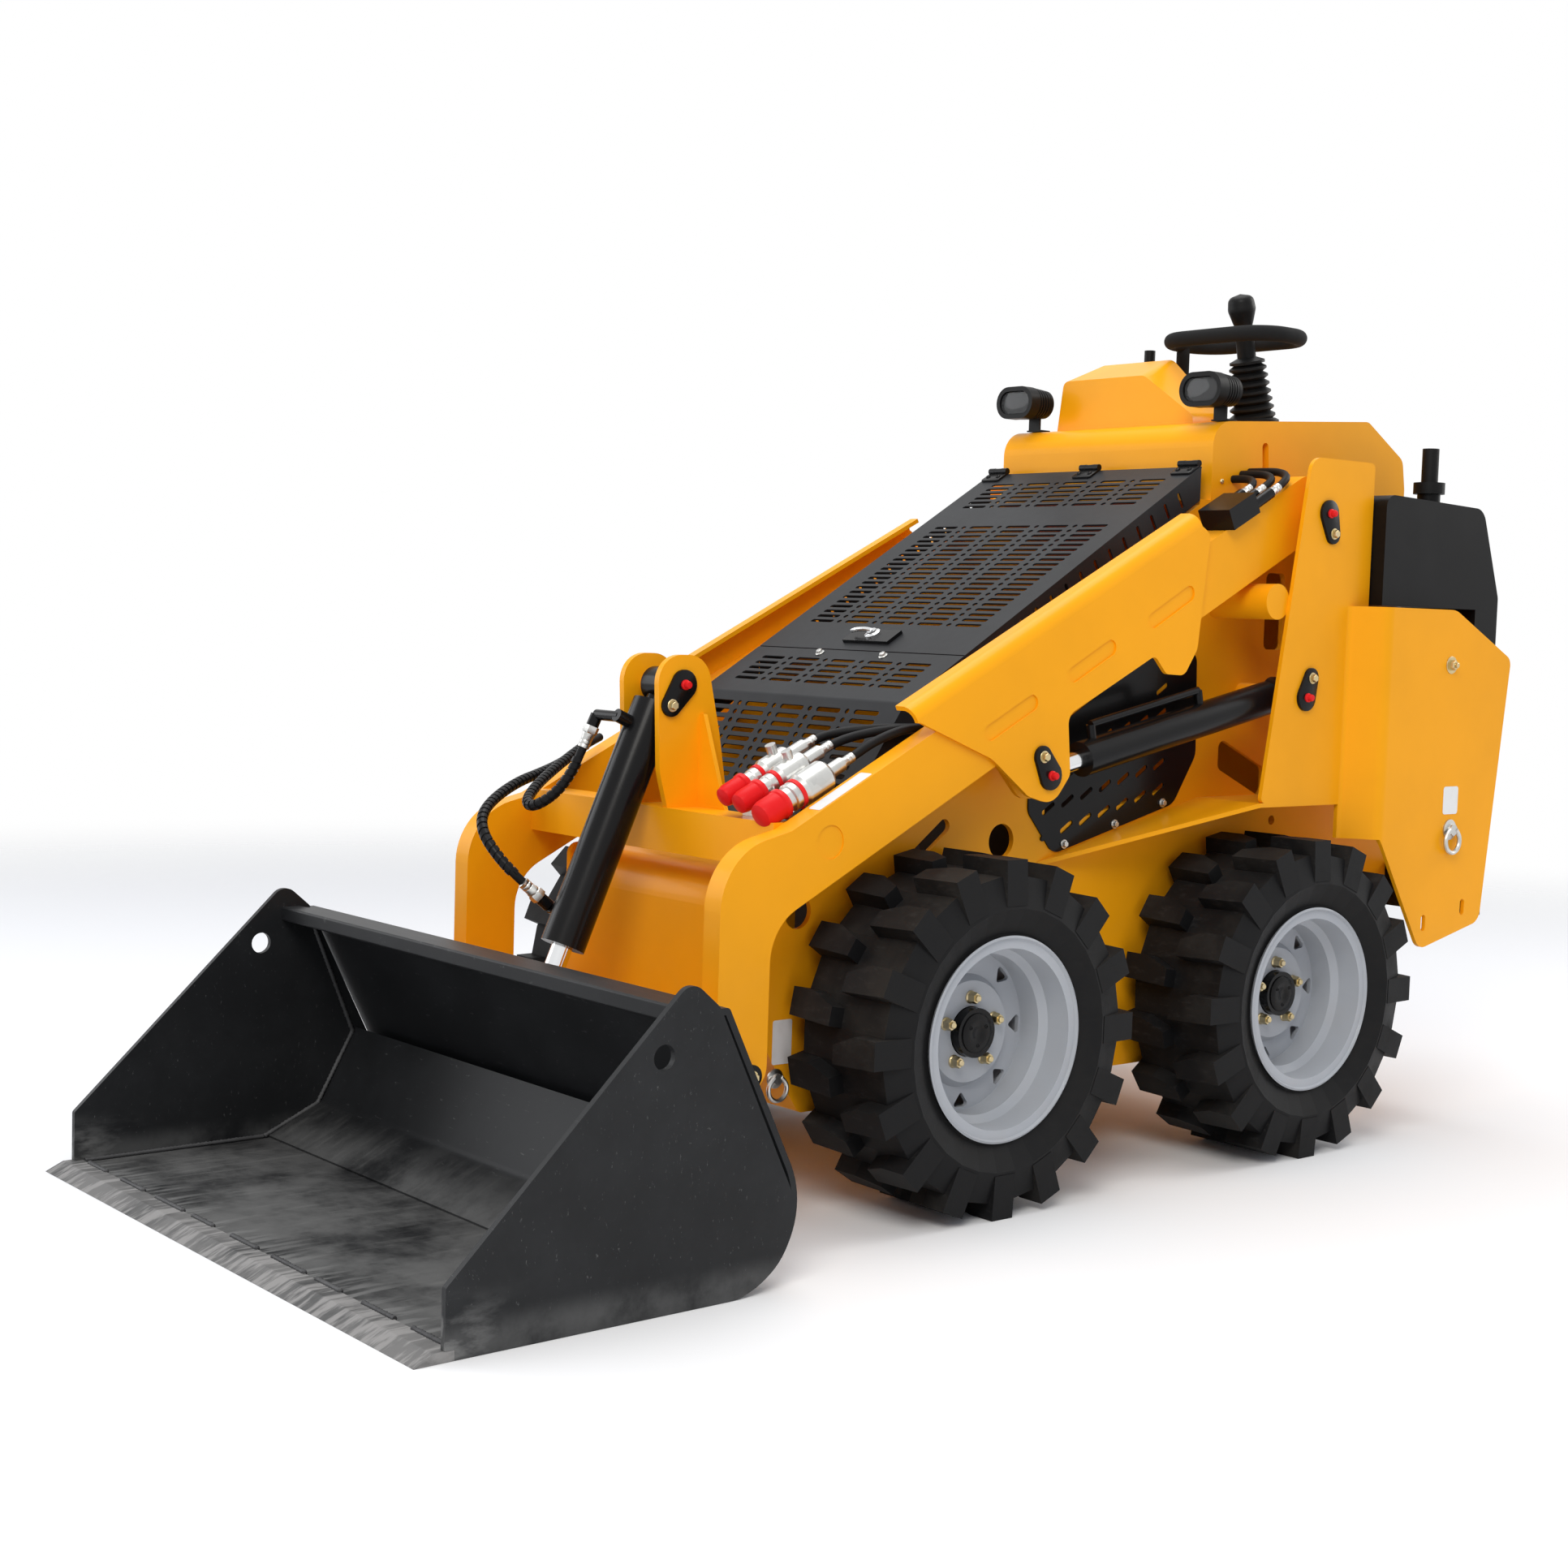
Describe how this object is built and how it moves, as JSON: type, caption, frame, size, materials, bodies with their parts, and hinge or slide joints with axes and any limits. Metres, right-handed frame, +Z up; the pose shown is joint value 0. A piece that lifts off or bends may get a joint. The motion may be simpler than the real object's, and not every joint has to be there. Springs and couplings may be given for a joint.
{
  "type": "mini skid steer loader",
  "caption": "Compact walk-behind skid steer loader on tyres with lift arms, tilting bucket, hydraulic cylinders and an opening perforated hood.",
  "frame": {"origin": "on the floor below the middle of the machine's length and width, bucket included", "axes": "+Z up, the bucket end looks along -Y, +X is the machine's left side"},
  "size_m": [1.2, 2.5374, 1.611],
  "materials": {
    "yellow_paint": "gloss enamel",
    "black_paint": "gloss enamel",
    "hood_coat": "satin powder coat",
    "bucket_paint": "satin, worn at the edges",
    "worn_edge": "scuffed",
    "rim_silver": "semi-gloss silver",
    "tyre_rubber": "matte",
    "zinc": "zinc plated",
    "chrome_rod": "polished",
    "tank_plastic": "gloss",
    "black_plastic": "matte",
    "foam_grip": "matte",
    "hose_rubber": "matte",
    "engine_grey": "cast"
  },
  "bodies": {
    "chassis": {"side_plate_left": "yellow_paint", "side_plate_right": "yellow_paint", "nose_and_belly": "yellow_paint", "tail_sheet": "yellow_paint", "counterweight": "black_paint", "engine_block": "engine_grey", "side_guards": "black_paint", "tower_left": "yellow_paint", "tower_right": "yellow_paint", "console": "yellow_paint", "fuel_tank": "tank_plastic", "oil_tank": "tank_plastic", "tank_caps": "black_plastic", "lamps": "black_plastic", "joystick": "black_plastic", "hand_guard": "foam_grip", "throttle_lever": "black_plastic", "hood_front": "hood_coat", "hub_motors": "black_paint"},
    "hood_door": {"hood_door": "hood_coat", "hood_latch": "black_paint"},
    "arms": {"arm_left": "yellow_paint", "arm_right": "yellow_paint", "cross_beam": "yellow_paint", "guard_left": "yellow_paint", "guard_right": "yellow_paint", "quick_couplers": "zinc", "hose_bracket": "black_paint", "hose_clamp": "black_paint", "coupler_hose_1": "hose_rubber", "coupler_hose_2": "hose_rubber", "coupler_hose_3": "hose_rubber", "root_hose_1": "hose_rubber", "root_hose_2": "hose_rubber", "root_hose_3": "hose_rubber"},
    "bucket": {"bucket_shell": "bucket_paint", "cutting_edge": "worn_edge", "attach_plate": "yellow_paint"},
    "tilt_barrel": {"tilt_barrel": "black_paint", "tilt_hose_upper": "hose_rubber", "tilt_hose_lower": "hose_rubber"},
    "tilt_rod": {"tilt_rod": "chrome_rod"},
    "lift_barrel_left": {"lift_barrel_left": "black_paint"},
    "lift_rod_left": {"lift_rod_left": "chrome_rod"},
    "lift_barrel_right": {"lift_barrel_right": "black_paint"},
    "lift_rod_right": {"lift_rod_right": "chrome_rod"},
    "wheel_front_left": {"tyre_front_left": "tyre_rubber", "rim_front_left": "rim_silver"},
    "wheel_front_right": {"tyre_front_right": "tyre_rubber", "rim_front_right": "rim_silver"},
    "wheel_rear_left": {"tyre_rear_left": "tyre_rubber", "rim_rear_left": "rim_silver"},
    "wheel_rear_right": {"tyre_rear_right": "tyre_rubber", "rim_rear_right": "rim_silver"}
  },
  "joints": [
    {"name": "lift", "type": "hinge", "parent": "chassis", "child": "arms", "pos_m": [0, 0.7415, 1.181], "axis": [-1, 0, 0], "range_deg": [0, 58]},
    {"name": "bucket_tilt", "type": "hinge", "parent": "arms", "child": "bucket", "pos_m": [0, -0.6005, 0.258], "axis": [1, 0, 0], "range_deg": [-20, 85]},
    {"name": "hood_door", "type": "hinge", "parent": "chassis", "child": "hood_door", "pos_m": [0, 0.5555, 1.263], "axis": [-1, 0, 0], "range_deg": [0, 60]},
    {"name": "tilt_barrel_swing", "type": "hinge", "parent": "arms", "child": "tilt_barrel", "pos_m": [0, -0.4655, 0.841], "axis": [1, 0, 0], "range_deg": [-0.72, 2.41]},
    {"name": "tilt_rod_slide", "type": "slide", "parent": "tilt_barrel", "child": "tilt_rod", "axis": [0, -0.4015, -0.9159], "range_m": [-0.0362, 0.1506]},
    {"name": "lift_barrel_swing_left", "type": "hinge", "parent": "chassis", "child": "lift_barrel_left", "pos_m": [0.36, 0.6975, 0.845], "axis": [-1, 0, 0], "range_deg": [0, 54.93]},
    {"name": "lift_rod_slide_left", "type": "slide", "parent": "lift_barrel_left", "child": "lift_rod_left", "axis": [0, -0.9778, -0.2094], "range_m": [0, 0.32611]},
    {"name": "lift_barrel_swing_right", "type": "hinge", "parent": "chassis", "child": "lift_barrel_right", "pos_m": [-0.36, 0.6975, 0.845], "axis": [-1, 0, 0], "range_deg": [0, 54.93]},
    {"name": "lift_rod_slide_right", "type": "slide", "parent": "lift_barrel_right", "child": "lift_rod_right", "axis": [0, -0.9778, -0.2094], "range_m": [0, 0.32611]},
    {"name": "wheel_front_left", "type": "hinge", "parent": "chassis", "child": "wheel_front_left", "pos_m": [0.396, -0.1225, 0.292], "axis": [1, 0, 0], "continuous": true},
    {"name": "wheel_front_right", "type": "hinge", "parent": "chassis", "child": "wheel_front_right", "pos_m": [-0.396, -0.1225, 0.292], "axis": [1, 0, 0], "continuous": true},
    {"name": "wheel_rear_left", "type": "hinge", "parent": "chassis", "child": "wheel_rear_left", "pos_m": [0.396, 0.6655, 0.292], "axis": [1, 0, 0], "continuous": true},
    {"name": "wheel_rear_right", "type": "hinge", "parent": "chassis", "child": "wheel_rear_right", "pos_m": [-0.396, 0.6655, 0.292], "axis": [1, 0, 0], "continuous": true}
  ],
  "couplings": [
    {"joint": "tilt_barrel_swing", "follows": "bucket_tilt", "ratio": 0.026},
    {"joint": "tilt_rod_slide", "follows": "bucket_tilt", "m_per_rad": 0.10084},
    {"joint": "lift_barrel_swing_left", "follows": "lift", "ratio": 0.94531},
    {"joint": "lift_rod_slide_left", "follows": "lift", "m_per_rad": 0.32165},
    {"joint": "lift_barrel_swing_right", "follows": "lift", "ratio": 0.94531},
    {"joint": "lift_rod_slide_right", "follows": "lift", "m_per_rad": 0.32165}
  ]
}
